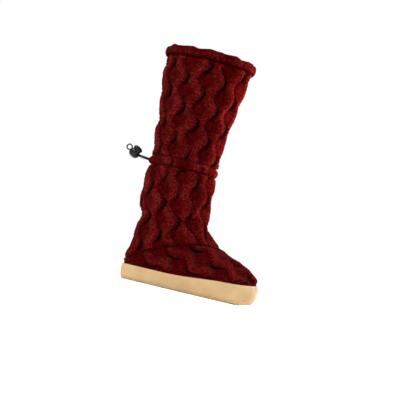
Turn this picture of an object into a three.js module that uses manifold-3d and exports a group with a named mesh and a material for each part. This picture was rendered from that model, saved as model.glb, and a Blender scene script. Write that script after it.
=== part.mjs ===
// Knitted slipper boot for the right foot: cable knit leg and foot, drawcord tunnel with a ball cord
// lock, wrapped suede sole. Millimetres, +Z up, +X to the toe, +Y to the inner side of the foot.
import * as THREE from "three";
import { mergeVertices } from "three/addons/utils/BufferGeometryUtils.js";
import ManifoldModule from "manifold-3d";

const wasm = await ManifoldModule();
wasm.setup();
const { Manifold, Mesh } = wasm;

// Driving sizes.
const GAP = 0.3;
const KNIT_WALL = 2.6;
const OUTSOLE_THICK = 3.4;
const OUTSOLE_DROP = 1.6;
const INSOLE_THICK = 5;
const ARCH_RISE = 1.4;
const TOE_SPRING = 7;
const TOE_SPRING_START = 118;
const TOE_END = 181;
const TOE_SWING = 7;
const WAIST_HOLLOW = 4;
const WAIST_AT = 24;
const WRAP_THICK = 2.4;
const WRAP_HEEL_TOP = 26;
const WRAP_TOE_TOP = 34;
const WRAP_EDGE_ROUND = 7;
const SHAFT_TOP = 410;
const HEM_TALL = 17;
const HEM_OUT = 5.6;
const TUNNEL_AT = 219;
const TUNNEL_TALL = 16;
const TUNNEL_OUT = 5.4;
const TUNNEL_KNOB = 2.6;
const TUNNEL_SEAT = 0.55;
const CORD_DIAMETER = 2.4;
const CORD_PAIR = 1.4;
const CORD_RISE_DEG = 14;
const LOCK_RISE_DEG = 30;
const LOCK_AT = 27.6;
const LOCK_RADIUS = 10.2;
const LOCK_PRESS = 3.5;

// Cable ribs: wave length along the rib, sideways swing, half width and height.
const LEG_RIB = { count: 12, wave: 52, swing: 6.2, half: 9.2, high: 3.6, shift: 0.35, above: -3.5, below: 28 };
const FOOT_RIB = { spacing: 40, wave: 44, swing: 6.5, half: 10.5, high: 3.4, slope: 0.52 };
const RIB_EVENING = 0.1;

// Sole line of the shoe and knit form above it, one row for each level.
const LEVELS = [
  { z: -8, back: -60, front: 172, widest: 106, half: 41.5, roundBack: 2.6, roundFront: 2.2 },
  { z: 2, back: -61, front: 175, widest: 106, half: 42.8, roundBack: 2.6, roundFront: 2.2 },
  { z: 20, back: -63, front: 178.5, widest: 106, half: 44, roundBack: 2.6, roundFront: 2.2 },
  { z: 36, back: -62.5, front: 177, widest: 98, half: 42.5, roundBack: 2.55, roundFront: 2.15 },
  { z: 47, back: -61.5, front: 171.5, widest: 82, half: 40.3, roundBack: 2.5, roundFront: 2.1 },
  { z: 56, back: -60.3, front: 161.5, widest: 62, half: 38.8, roundBack: 2.4, roundFront: 2.1 },
  { z: 66, back: -58.8, front: 144, widest: 42, half: 37.6, roundBack: 2.3, roundFront: 2.1 },
  { z: 81, back: -56.2, front: 113, widest: 24, half: 36.8, roundBack: 2.2, roundFront: 2.1 },
  { z: 100, back: -53, front: 84, widest: 12, half: 37, roundBack: 2.15, roundFront: 2.1 },
  { z: 122, back: -51.5, front: 66, widest: 6, half: 38, roundBack: 2.1, roundFront: 2.1 },
  { z: 142, back: -57, front: 63, widest: 3, half: 40, roundBack: 2.1, roundFront: 2.1 },
  { z: 176, back: -61.5, front: 62, widest: 1, half: 42.5, roundBack: 2.1, roundFront: 2.1 },
  { z: 203, back: -57.5, front: 59.5, widest: 0, half: 41, roundBack: 2.1, roundFront: 2.1 },
  { z: 220, back: -56, front: 57, widest: 0, half: 40, roundBack: 2.1, roundFront: 2.1 },
  { z: 238, back: -59.5, front: 59, widest: 0, half: 41.5, roundBack: 2.1, roundFront: 2.1 },
  { z: 300, back: -62.5, front: 62.5, widest: 0, half: 44.5, roundBack: 2.1, roundFront: 2.1 },
  { z: 340, back: -68.5, front: 69.5, widest: 0, half: 46.5, roundBack: 2.1, roundFront: 2.1 },
  { z: 386, back: -73.5, front: 77, widest: 1, half: 49, roundBack: 2.1, roundFront: 2.1 },
  { z: 440, back: -76, front: 84.5, widest: 2, half: 50.5, roundBack: 2.1, roundFront: 2.1 },
];

// Ankle seam in side view: from the heel above the sole wrap to the instep.
const SEAM = { heelX: -64, heelZ: 35, instepX: 99, instepZ: 90, bow: 13 };

// Half of the drawcord, from its tunnel to the end of its loop: along the cord, to the side and up.
const CORD_HALF = [
  { along: -32.6, middle: 10.25, side: 0, up: 1.38 },
  { along: -26.5, middle: 7.6, side: 0, up: 1.38 },
  { along: -22, middle: 5.63, side: 0, up: 1.42 },
  { along: -18, middle: 3.88, side: 0, up: 1.5 },
  { along: -14.5, middle: 2.35, side: 0.25, up: 1.5 },
  { along: -12, middle: 1.3, side: 0.65, up: 1.3 },
  { along: -10, middle: 0.6, side: 1.05, up: 0.9 },
  { along: -8.2, middle: 0.2, side: 1.37, up: 0.3 },
  { along: -6.4, middle: 0.05, side: 1.4, up: 0 },
  { along: 0, middle: 0, side: 1.4, up: 0 },
  { along: 6.2, middle: 0, side: 1.4, up: 0.02 },
  { along: 7.5, middle: 0, side: 1.37, up: 0.2 },
  { along: 8.8, middle: 0, side: 1.27, up: 0.83 },
  { along: 10.05, middle: 0, side: 1.05, up: 2.27 },
  { along: 11.15, middle: 0, side: 0.9, up: 3.6 },
  { along: 12.55, middle: 0, side: 0.75, up: 4.42 },
  { along: 14.2, middle: 0, side: 0.6, up: 4.7 },
  { along: 16.15, middle: 0, side: 0.4, up: 4.26 },
  { along: 17.75, middle: 0, side: 0.22, up: 3.02 },
  { along: 18.6, middle: 0, side: 0.1, up: 1.61 },
  { along: 18.9, middle: 0, side: 0, up: 0 },
];

const smooth = (edge0, edge1, x) => THREE.MathUtils.smoothstep(x, edge0, edge1);
const signedPower = (x, power) => Math.sign(x) * Math.abs(x) ** power;

// Smooth curve through one column of the levels table, with no overshoot.
function level(column, z) {
  const last = LEVELS.length - 1;
  let i = 0;
  while (i < last - 1 && z > LEVELS[i + 1].z) i += 1;
  const rise = (k) => (LEVELS[k + 1][column] - LEVELS[k][column]) / (LEVELS[k + 1].z - LEVELS[k].z);
  const slope = (k) => {
    if (k === 0) return rise(0);
    if (k === last) return rise(last - 1);
    const before = rise(k - 1);
    const after = rise(k);
    return before * after <= 0 ? 0 : (2 * before * after) / (before + after);
  };
  const step = LEVELS[i + 1].z - LEVELS[i].z;
  const t = Math.min(Math.max((z - LEVELS[i].z) / step, 0), 1);
  const t2 = t * t;
  const t3 = t2 * t;
  const ends = (2 * t3 - 3 * t2 + 1) * LEVELS[i][column] + (3 * t2 - 2 * t3) * LEVELS[i + 1][column];
  const slopes = (t3 - 2 * t2 + t) * slope(i) + (t3 - t2) * slope(i + 1);
  return ends + step * slopes;
}

const toeSpring = (x) => TOE_SPRING * Math.max(0, (x - TOE_SPRING_START) / (TOE_END - TOE_SPRING_START)) ** 2;

// Smooth knit form without its ribs: a point at a level, turned from the toe towards the inner side.
function formPoint(z, turn) {
  const c = Math.cos(turn);
  const s = Math.sin(turn);
  const widest = level("widest", z);
  const reach = c >= 0 ? level("front", z) - widest : widest - level("back", z);
  const round = 2 / level(c >= 0 ? "roundFront" : "roundBack", z);
  const x = widest + reach * signedPower(c, round);
  const low = 1 - smooth(40, 100, z);
  const hollow = WAIST_HOLLOW * low * Math.exp(-(((x - WAIST_AT) / 42) ** 2)) * smooth(0.3, 0.9, s);
  const swing = TOE_SWING * smooth(20, TOE_END, x) * low;
  const y = level("half", z) * signedPower(s, round) + swing - hollow;
  return new THREE.Vector3(x, y, z + toeSpring(x));
}

// The same point moved out of the form by an offset, square to its surface.
function offsetPoint(z, turn, offset) {
  const e = 0.02;
  const round = formPoint(z, turn + e).sub(formPoint(z, turn - e));
  const up = formPoint(z + 0.4, turn).sub(formPoint(z - 0.4, turn));
  const normal = round.cross(up).normalize();
  return formPoint(z, turn).addScaledVector(normal, offset);
}

function seamHeight(x) {
  const t = (x - SEAM.heelX) / (SEAM.instepX - SEAM.heelX);
  return THREE.MathUtils.lerp(SEAM.heelZ, SEAM.instepZ, t) + SEAM.bow * (1 - (2 * t - 1) ** 2);
}

const wrapTop = (x) => THREE.MathUtils.lerp(WRAP_HEEL_TOP, WRAP_TOE_TOP, smooth(10, 140, x));

// Height of the highest rib at a place across the ribs, where neighbours swing opposite ways.
function ribHeight(across, along, spacing, rib) {
  let high = 0;
  for (let i = Math.round(across) - 1; i <= Math.round(across) + 1; i += 1) {
    const side = i % 2 === 0 ? 1 : -1;
    const centre = i + (side * rib.swing * Math.sin((2 * Math.PI * along) / rib.wave)) / spacing;
    const d = ((across - centre) * spacing) / rib.half;
    if (Math.abs(d) < 1) high = Math.max(high, rib.high * (1 - d * d) ** 0.7);
  }
  return high;
}

// Place along a leg rib; the ribs start afresh above and below the tunnel.
const legAlong = (z) => z - (z > TUNNEL_AT ? LEG_RIB.above : LEG_RIB.below);

function legAcross(turn) {
  return (LEG_RIB.count / (2 * Math.PI)) * (turn - RIB_EVENING * Math.sin(2 * turn)) + LEG_RIB.shift;
}

function legRelief(z, turn) {
  const p = formPoint(z, turn);
  const spacing = (level("front", z) - level("back", z) + 2 * level("half", z)) * (Math.PI / 2 / LEG_RIB.count);
  const high = ribHeight(legAcross(turn), legAlong(z), spacing, LEG_RIB);
  const tunnel = smooth(TUNNEL_TALL / 2 + 2, TUNNEL_TALL / 2 + 11, Math.abs(z - TUNNEL_AT));
  const seam = smooth(0, 8, p.z - seamHeight(p.x));
  return high * tunnel * (1 - 0.6 * smooth(SHAFT_TOP - 9, SHAFT_TOP, z)) * (0.3 + 0.7 * seam);
}

function footRelief(z, turn) {
  const p = formPoint(z, turn);
  const ridge = SEAM.instepZ - FOOT_RIB.slope * (p.x - SEAM.instepX);
  const across = (1.12 * Math.hypot(p.y, ridge - p.z) * (p.y < 0 ? -1 : 1)) / FOOT_RIB.spacing;
  const along = 0.887 * p.x - 0.46 * p.z;
  const high = ribHeight(across, along, FOOT_RIB.spacing, FOOT_RIB);
  const wrap = smooth(5, 12, z - wrapTop(p.x));
  const seam = smooth(0, 8, seamHeight(p.x) - p.z);
  return high * wrap * (0.3 + 0.7 * seam);
}

// Turns at which the columns of a ring stand; the leg's columns follow its ribs.
const evenTurns = (count) => Array.from({ length: count }, (_, k) => (2 * Math.PI * k) / count);

function ribTurns(z) {
  const spacing = (level("front", z) - level("back", z) + 2 * level("half", z)) * (Math.PI / 2 / LEG_RIB.count);
  const wave = (LEG_RIB.swing * Math.sin((2 * Math.PI * legAlong(z)) / LEG_RIB.wave)) / spacing;
  const turns = [];
  for (let i = 0; i < LEG_RIB.count; i += 1) {
    const centre = i + (i % 2 === 0 ? wave : -wave);
    const before = (centre - (i - 0.5)) * 0.55;
    const after = (i + 0.5 - centre) * 0.55;
    for (const across of [centre, centre + after, i + 0.5, i + 1 - (i % 2 === 0 ? wave : -wave) - before]) {
      let turn = ((across - LEG_RIB.shift) * 2 * Math.PI) / LEG_RIB.count;
      for (let n = 0; n < 8; n += 1) {
        const miss = legAcross(turn) - across;
        turn -= (miss * 2 * Math.PI) / LEG_RIB.count;
      }
      turns.push(turn);
    }
  }
  return turns;
}

// Closed solid from a table of points, rows by columns. Columns always close; rows close or are capped.
function gridSolid(rows, capStyle) {
  const columns = rows[0].length;
  const positions = rows.flat().flatMap((p) => [p.x, p.y, p.z]);
  const at = (r, c) => (r % rows.length) * columns + (c % columns);
  const index = [];
  const bands = capStyle === "ring" ? rows.length : rows.length - 1;
  for (let r = 0; r < bands; r += 1) {
    for (let c = 0; c < columns; c += 1) {
      index.push(at(r, c), at(r, c + 1), at(r + 1, c + 1));
      index.push(at(r, c), at(r + 1, c + 1), at(r + 1, c));
    }
  }
  const cap = (r, flip) => {
    const face = (a, b, c) => index.push(...(flip ? [a, c, b] : [a, b, c]));
    if (capStyle === "ladder") {
      for (let k = 0; k < columns / 2; k += 1) {
        const [a, b] = [at(r, k), at(r, k + 1)];
        const [c, d] = [at(r, columns - k - 1), at(r, columns - k)];
        if (a !== d) face(a, b, d);
        if (b !== c) face(b, c, d);
      }
    }
    if (capStyle === "fan") {
      const centre = positions.length / 3;
      const sum = rows[r].reduce((a, p) => a.add(p), new THREE.Vector3()).divideScalar(columns);
      positions.push(sum.x, sum.y, sum.z);
      for (let c = 0; c < columns; c += 1) face(at(r, c), at(r, c + 1), centre);
    }
  };
  if (capStyle !== "ring") {
    cap(0, true);
    cap(rows.length - 1, false);
  }
  const geometry = new THREE.BufferGeometry();
  geometry.setAttribute("position", new THREE.Float32BufferAttribute(positions, 3));
  geometry.setIndex(index);
  return toManifold(geometry);
}

function toManifold(geometry) {
  const bare = new THREE.BufferGeometry();
  bare.setAttribute("position", geometry.getAttribute("position"));
  bare.setIndex(geometry.getIndex());
  const merged = mergeVertices(bare, 1e-4);
  const mesh = new Mesh({
    numProp: 3,
    vertProperties: Float32Array.from(merged.getAttribute("position").array),
    triVerts: Uint32Array.from(merged.getIndex().array),
  });
  mesh.merge();
  const solid = new Manifold(mesh);
  if (solid.volume() > 0) return solid;
  return new Manifold(new Mesh({ numProp: 3, vertProperties: mesh.vertProperties, triVerts: mesh.triVerts.reverse() }));
}

function toNode(name, solid) {
  const mesh = solid.getMesh();
  const geometry = new THREE.BufferGeometry();
  geometry.setAttribute("position", new THREE.Float32BufferAttribute(mesh.vertProperties, 3));
  geometry.setIndex([...mesh.triVerts]);
  const node = new THREE.Mesh(geometry);
  node.name = name;
  return node;
}

const steps = (from, to, count) => Array.from({ length: count + 1 }, (_, k) => from + ((to - from) * k) / count);

// Outer and inner knit forms.
const UPPER_BOTTOM = OUTSOLE_THICK + GAP;

function legForm() {
  const clear = TUNNEL_TALL / 2 + 2;
  const rows = [...steps(26, TUNNEL_AT - clear, 16), TUNNEL_AT, ...steps(TUNNEL_AT + clear, SHAFT_TOP, 16)];
  return gridSolid(
    rows.map((z) => ribTurns(z).map((turn) => offsetPoint(z, turn, legRelief(z, turn)))),
    "fan",
  );
}

function footForm() {
  const rows = [...steps(UPPER_BOTTOM, 24, 2), ...steps(31, 71, 8), ...steps(77, 119, 6)];
  const turns = evenTurns(54);
  return gridSolid(
    rows.map((z) => turns.map((turn) => offsetPoint(z, turn, footRelief(z, turn)))),
    "fan",
  );
}

function innerForm() {
  const rows = [-7, 4, 20, 34, 46, 57, 68, 84, 102, 122, 150, 180, 218, 250, 320, 380, 438];
  const turns = evenTurns(36);
  return gridSolid(
    rows.map((z) => turns.map((turn) => offsetPoint(z, turn, -KNIT_WALL))),
    "fan",
  );
}

// Everything below the ankle seam, moved up or down by half its gap.
function belowSeam(shift) {
  const shape = new THREE.Shape();
  shape.moveTo(-150, -60);
  for (const x of steps(-90, 130, 44)) shape.lineTo(x, seamHeight(x) + shift);
  shape.lineTo(260, seamHeight(130) + shift);
  shape.lineTo(260, -60);
  shape.closePath();
  const geometry = new THREE.ExtrudeGeometry(shape, { depth: 300, bevelEnabled: false });
  geometry.rotateX(Math.PI / 2);
  geometry.translate(0, 150, 0);
  return toManifold(mergeVertices(geometry.deleteAttribute("normal").deleteAttribute("uv")));
}

const inner = innerForm();
const shaft = legForm().subtract(inner).subtract(belowSeam(GAP / 2));
const upper = footForm().subtract(inner).intersect(belowSeam(-GAP / 2));

// Suede band round the foot, rounded into the underside.
function soleWrap() {
  const inside = GAP;
  const outside = GAP + WRAP_THICK;
  const low = OUTSOLE_DROP;
  const turns = evenTurns(54);
  const loop = [
    ...steps(0, 0.97, 4).map((part) => (top) => [inside, low + (top - low) * part]),
    (top) => [outside - 0.9, top],
    (top) => [outside, top - 1.3],
    (top) => [outside + 0.6, top * 0.66],
    (top) => [outside + 0.9, WRAP_EDGE_ROUND + low],
    (top) => [outside + 0.4, WRAP_EDGE_ROUND * 0.5 + low],
    (top) => [outside - 0.9, WRAP_EDGE_ROUND * 0.16 + low],
    (top) => [outside - 1.7, low],
  ];
  const rows = loop.map((place) =>
    turns.map((turn) => {
      const [offset, z] = place(wrapTop(formPoint(20, turn).x));
      return offsetPoint(z, turn, offset);
    }),
  );
  return gridSolid(rows.reverse(), "ring");
}

// Sole sheet: flat under the heel and the ball, hollowed a little at the arch.
function outsole() {
  const arch = (x) => ARCH_RISE * smooth(14, 34, x) * (1 - smooth(44, 64, x));
  const ring = (z, offset, lift) =>
    evenTurns(54).map((turn) => {
      const p = offsetPoint(4, turn, offset);
      const spring = toeSpring(p.x);
      return new THREE.Vector3(p.x, p.y, z + spring + lift * arch(p.x));
    });
  return gridSolid([ring(0, -1.4, 1), ring(0.8, -0.6, 1), ring(OUTSOLE_THICK, -0.6, 0)], "ladder");
}

function insole() {
  const low = OUTSOLE_THICK + GAP;
  const ring = (z, inset) =>
    evenTurns(36).map((turn) => {
      const p = offsetPoint(z, turn, -KNIT_WALL - GAP - inset);
      return new THREE.Vector3(p.x, p.y, z + toeSpring(p.x));
    });
  return gridSolid([ring(low, 0.5), ring(low + INSOLE_THICK - 1, 0.5), ring(low + INSOLE_THICK, 1.6)], "ladder");
}

// Ring sewn round the leg, from pairs of offset and height, thicker where a bulge is given.
function legRing(pairs, columns, bulge) {
  const rows = pairs.map(([offset, z]) =>
    evenTurns(columns).map((turn) => offsetPoint(z, turn, offset + Math.max(0, offset - 1) * bulge(turn))),
  );
  return gridSolid(rows, "ring");
}

function collarHem() {
  const low = SHAFT_TOP + GAP;
  const top = low + HEM_TALL;
  return legRing(
    [
      [-KNIT_WALL - 0.4, low + 0.2],
      [1.4, low],
      [HEM_OUT * 0.78, low + 1.6],
      [HEM_OUT, low + 6],
      [HEM_OUT * 0.9, low + 11.5],
      [HEM_OUT * 0.5, top - 1.4],
      [-0.6, top],
      [-KNIT_WALL - 1.2, top - 3.5],
      [-KNIT_WALL - 1.2, low + 5],
    ],
    44,
    () => 0,
  );
}

// The lock's middle stands out from the tunnel at the centre back of the leg. Its third axis is the
// press axis, and its first leads the cord through it.
const rise = THREE.MathUtils.degToRad(CORD_RISE_DEG);
const lockRise = THREE.MathUtils.degToRad(LOCK_RISE_DEG);
const CORD_EXIT = new THREE.Vector3(level("back", TUNNEL_AT) - TUNNEL_OUT - TUNNEL_KNOB, 0, TUNNEL_AT - 0.5);
const LOCK_OUT = new THREE.Vector3(-Math.cos(lockRise), 0, Math.sin(lockRise));
const LOCK_AXIS = new THREE.Vector3(Math.sin(lockRise), 0, Math.cos(lockRise));
const LOCK_FRAME = new THREE.Matrix4()
  .makeBasis(LOCK_OUT, LOCK_AXIS.clone().cross(LOCK_OUT), LOCK_AXIS)
  .setPosition(CORD_EXIT.x - LOCK_AT * Math.cos(rise), 0, CORD_EXIT.z + LOCK_AT * Math.sin(rise));

const lockPlace = (along, side, up) => new THREE.Vector3(along, side, up).applyMatrix4(LOCK_FRAME);

// Frame at the tunnel's opening, with its first axis on the cord as it comes out.
function exitFrame() {
  const [inside, mouth] = CORD_HALF.map(({ along, middle }) => lockPlace(along, 0, middle));
  const out = mouth.clone().sub(inside).normalize();
  const side = new THREE.Vector3(0, -1, 0);
  return new THREE.Matrix4().makeBasis(out, side, out.clone().cross(side)).setPosition(mouth);
}

function block(long, wide, low, high, frame) {
  const box = new THREE.BoxGeometry(long, wide, high - low).toNonIndexed();
  box.deleteAttribute("normal").deleteAttribute("uv");
  box.translate(0, 0, (low + high) / 2);
  box.applyMatrix4(frame);
  return toManifold(mergeVertices(box));
}

function drawcordTunnel() {
  const half = TUNNEL_TALL / 2;
  const ring = legRing(
    [
      [TUNNEL_SEAT, TUNNEL_AT],
      [TUNNEL_SEAT, TUNNEL_AT - half],
      [1.8, TUNNEL_AT - half],
      [TUNNEL_OUT * 0.78, TUNNEL_AT - half * 0.62],
      [TUNNEL_OUT, TUNNEL_AT - half * 0.12],
      [TUNNEL_OUT * 0.85, TUNNEL_AT + half * 0.5],
      [1.8, TUNNEL_AT + half],
      [TUNNEL_SEAT, TUNNEL_AT + half],
    ],
    48,
    (turn) => (TUNNEL_KNOB / (TUNNEL_OUT - 1)) * Math.exp(-(((turn - Math.PI) / 0.2) ** 2)),
  );
  const tall = CORD_DIAMETER / 2 + 0.45;
  const slot = block(22, 2 * tall, -CORD_PAIR - tall, CORD_PAIR + tall, exitFrame());
  return ring.subtract(slot);
}

function drawcord() {
  const out = CORD_HALF.map(({ along, middle, side, up }) => lockPlace(along, side, middle + up));
  const home = CORD_HALF.slice(0, -1).map(({ along, middle, side, up }) => lockPlace(along, -side, middle - up));
  const path = new THREE.CatmullRomCurve3([...out, ...home.reverse()], false, "centripetal");
  const section = new THREE.Shape();
  section.absarc(0, 0, CORD_DIAMETER / 2, 0, 2 * Math.PI);
  const geometry = new THREE.ExtrudeGeometry(section, { steps: 44, curveSegments: 4, extrudePath: path });
  return toManifold(mergeVertices(geometry.deleteAttribute("normal").deleteAttribute("uv")));
}

// Turned solid on the lock's press axis, from pairs of radius and height.
function lockTurned(pairs) {
  const lathe = new THREE.LatheGeometry(pairs.map(([r, z]) => new THREE.Vector2(r, z)), 20);
  lathe.rotateX(Math.PI / 2);
  lathe.applyMatrix4(LOCK_FRAME);
  return toManifold(mergeVertices(lathe.deleteAttribute("normal").deleteAttribute("uv"), 1e-3));
}

const PISTON_RADIUS = 8.1;
const STEM_RADIUS = 5.8;
const LOCK_PLAY = 0.35;
const LOCK_SLOT = 6.1;
const RIM = 2.4;
const SHOULDER = 0.6;
const CROWN_RADIUS = 9;
const CROWN_LOW = 6.2;

function lockBody() {
  const seat = SHOULDER - LOCK_PRESS - LOCK_PLAY;
  const cup = lockTurned([
    [0, -10.8],
    [4, -10.3],
    [7.2, -8.8],
    [9.2, -6.2],
    [LOCK_RADIUS, -2.6],
    [LOCK_RADIUS, 0.9],
    [LOCK_RADIUS - 0.3, RIM],
    [PISTON_RADIUS + LOCK_PLAY, RIM],
    [PISTON_RADIUS + LOCK_PLAY, seat],
    [STEM_RADIUS + LOCK_PLAY, seat],
    [STEM_RADIUS + LOCK_PLAY, -8],
    [0, -8],
  ]);
  return cup.subtract(block(30, LOCK_SLOT, -4.4, RIM + 3, LOCK_FRAME));
}

function lockButton() {
  const knob = lockTurned([
    [0, -4.2],
    [STEM_RADIUS, -4.2],
    [STEM_RADIUS, SHOULDER],
    [PISTON_RADIUS, SHOULDER],
    [PISTON_RADIUS, CROWN_LOW],
    [CROWN_RADIUS - 0.5, CROWN_LOW],
    [CROWN_RADIUS, CROWN_LOW + 0.7],
    [8.3, 9],
    [5.6, 11.2],
    [0, 12.1],
  ]);
  return knob.subtract(block(30, LOCK_SLOT, -1.6, 1.6 + LOCK_PRESS, LOCK_FRAME));
}

const boot = new THREE.Group();
boot.name = "slipper_boot";
boot.add(
  toNode("outsole", outsole()),
  toNode("sole_wrap", soleWrap()),
  toNode("insole", insole()),
  toNode("upper", upper),
  toNode("shaft", shaft),
  toNode("drawcord_tunnel", drawcordTunnel()),
  toNode("collar_hem", collarHem()),
  toNode("drawcord", drawcord()),
  toNode("cord_lock_body", lockBody()),
  toNode("cord_lock_button", lockButton()),
);

export default boot;
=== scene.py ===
"""Looks of a knee-high cable knit slipper boot: knit leg and foot, drawcord, ball lock, suede sole."""

import logging
import math
from dataclasses import dataclass, field
from enum import Enum, IntEnum
from itertools import product

import bmesh
import bpy
import numpy as np
from mathutils import Matrix, Vector


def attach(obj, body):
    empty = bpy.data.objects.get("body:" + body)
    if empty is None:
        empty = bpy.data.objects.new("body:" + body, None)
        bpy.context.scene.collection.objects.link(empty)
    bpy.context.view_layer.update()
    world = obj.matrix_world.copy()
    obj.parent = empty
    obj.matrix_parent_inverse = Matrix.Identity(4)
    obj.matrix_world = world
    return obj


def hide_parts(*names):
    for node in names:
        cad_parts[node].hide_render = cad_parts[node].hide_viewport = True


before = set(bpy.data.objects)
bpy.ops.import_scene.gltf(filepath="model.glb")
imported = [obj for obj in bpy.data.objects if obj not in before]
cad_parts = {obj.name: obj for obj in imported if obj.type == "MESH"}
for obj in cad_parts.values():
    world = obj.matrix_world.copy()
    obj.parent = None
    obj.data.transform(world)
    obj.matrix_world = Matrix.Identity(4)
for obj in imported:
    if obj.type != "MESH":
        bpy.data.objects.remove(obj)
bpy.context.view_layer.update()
LOG = logging.getLogger("slipper_boot")
MM = 0.001
TUNNEL_AT = 219.0
Grid = np.ndarray
Triple = tuple[float, float, float]
Pairs = tuple[tuple[float, float], ...]


class Body(Enum):
    """Rigid bodies of the part."""

    BOOT = "boot"
    BUTTON = "lock_button"


class Slot(Enum):
    """Material slots of the record."""

    KNIT = "knit"
    WRAP = "tan_suede"
    OUTSOLE = "outsole_suede"
    FOOTBED = "footbed"
    CORD = "cord"
    LOCK = "lock"


class Side(Enum):
    """Which panel of the knit a stretch of wall belongs to."""

    LEG = "leg"
    FOOT = "foot"


class Column(IntEnum):
    """Columns of the knit form's levels, after their height."""

    BACK = 1
    FRONT = 2
    WIDEST = 3
    HALF_WIDTH = 4
    BACK_ROUND = 5
    FRONT_ROUND = 6


def smooth(low: float, high: float, x: Grid) -> Grid:
    """Smooth step of x, from 0 at low to 1 at high."""
    t = np.clip((np.asarray(x, float) - low) / (high - low), 0.0, 1.0)
    return t * t * (3.0 - 2.0 * t)


def signed_power(x: Grid, power: Grid) -> Grid:
    """Power of a number's size, with its sign kept."""
    return np.sign(x) * np.abs(x) ** power


def ripple(turn: Grid, waves: tuple[Triple, ...]) -> Grid:
    """Uneven wave round a ring: the sum of waves, each a row of count, size and phase."""
    return sum(size * np.sin(count * turn + phase) for count, size, phase in waves)


def lumps(across: Grid, along: Grid, cells: int, seed: int) -> Grid:
    """Soft random lumps that close round a ring.

    Args:
        across: Place round the ring, from 0 to 1.
        along: Place along it, counted in lumps.
        cells: Lumps round the ring.
        seed: Seed of the lumps.

    Returns:
        Values from -1 to 1.
    """
    rows = 512
    table = np.random.default_rng(seed).uniform(-1, 1, (rows, cells))
    u, v = np.asarray(across) * cells, np.asarray(along) + 40.0
    i, j = np.floor(u).astype(int), np.floor(v).astype(int)
    a, b = smooth(0, 1, u - i), smooth(0, 1, v - j)
    low, high = (
        table[k % rows, i % cells] * (1 - a) + table[k % rows, (i + 1) % cells] * a for k in (j, j + 1)
    )
    return low * (1 - b) + high * b


def turns(count: int) -> Grid:
    """Even angles round a ring, from the toe to the inner side."""
    return np.arange(count) * (2.0 * np.pi / count)


def spline_loop(points: Grid, per_span: int, closed: bool = True) -> Grid:
    """Smooth curve through control points, along the first axis.

    Args:
        points: Control points, first axis along the curve.
        per_span: Samples for each span.
        closed: Whether the curve joins its start.

    Returns:
        Sampled points, first axis along the curve.
    """
    count = len(points)
    spans = count if closed else count - 1
    made = []
    for i in range(spans):
        picks = [i - 1, i, i + 1, i + 2]
        picks = [k % count if closed else min(max(k, 0), count - 1) for k in picks]
        p0, p1, p2, p3 = (points[k] for k in picks)
        for t in np.arange(per_span) / per_span:
            cubic = (-p0 + 3 * p1 - 3 * p2 + p3) * t**3 + (2 * p0 - 5 * p1 + 4 * p2 - p3) * t**2
            made.append(0.5 * (cubic + (p2 - p0) * t + 2 * p1))
    if not closed:
        made.append(points[-1])
    return np.array(made)


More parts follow.
